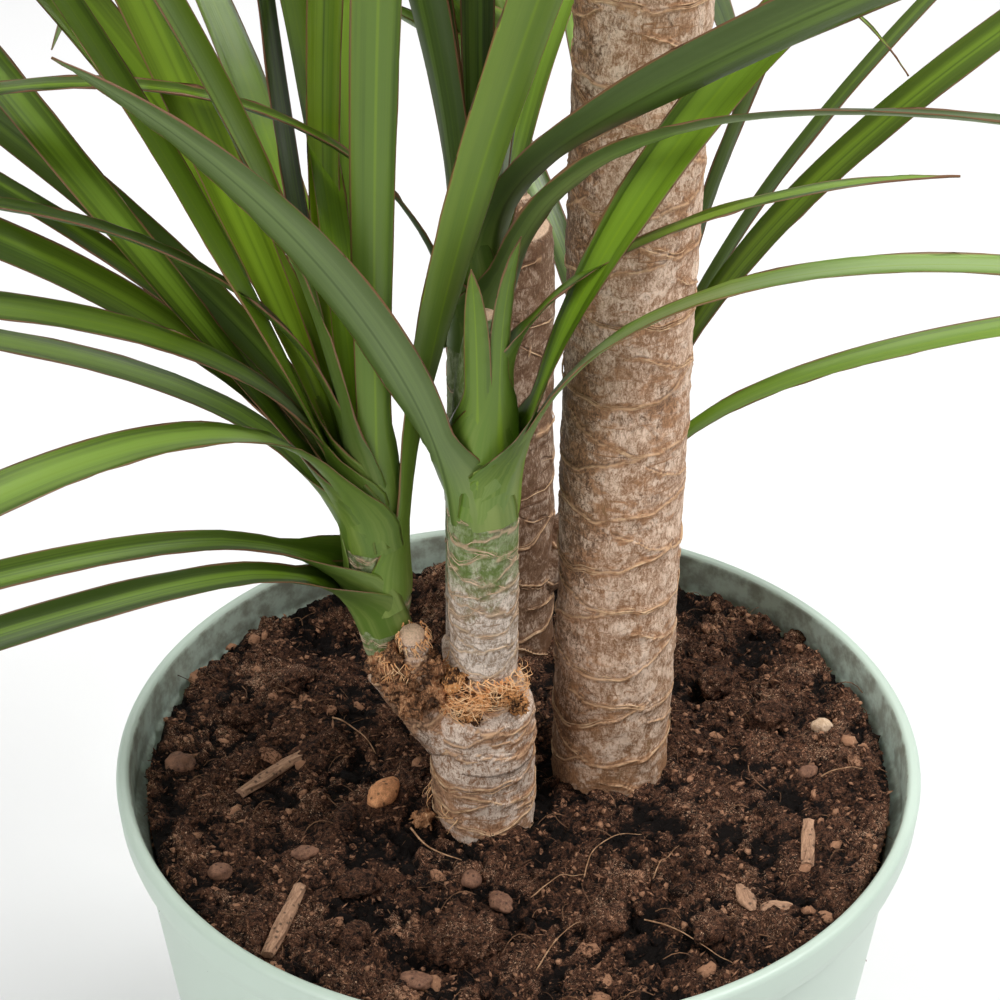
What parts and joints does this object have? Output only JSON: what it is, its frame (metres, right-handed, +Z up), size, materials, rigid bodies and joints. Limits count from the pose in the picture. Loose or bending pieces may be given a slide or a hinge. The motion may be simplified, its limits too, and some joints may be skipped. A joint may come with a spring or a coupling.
{
  "type": "potted dracaena",
  "caption": "Dracaena with sawn canes of different height and crowns of long arching strap leaves, planted in a round tapered plastic pot of soil.",
  "frame": {"origin": "centre of the pot's flat underside", "axes": "+Z up along the pot's axis, +X to the viewer's right and +Y away from the viewer in the picture's view"},
  "size_m": [0.9072, 0.874, 1.1749],
  "materials": {
    "pot_sage": "satin",
    "soil_dark": "crumbly",
    "cane_bark": "rough",
    "leaf_green": "satin",
    "bark_brown": "rough",
    "pebble_brown": "matte"
  },
  "bodies": {
    "root": {"pot": "pot_sage", "soil": "soil_dark", "cane_tall": "cane_bark", "cane_middle": "cane_bark", "cane_short": "cane_bark", "shoot_front": "leaf_green", "shoot_back": "leaf_green", "shoot_left": "leaf_green", "shoot_right": "leaf_green", "shoot_middle": "leaf_green", "shoot_tall_left": "leaf_green", "shoot_tall_right": "leaf_green", "bark_stick_left": "bark_brown", "bark_stick_front": "bark_brown", "bark_nugget": "bark_brown", "bark_strip_right": "bark_brown", "bark_chip_right": "bark_brown", "pebble_left": "pebble_brown", "pebble_front": "pebble_brown", "clay_bead": "pebble_brown"}
  },
  "joints": []
}
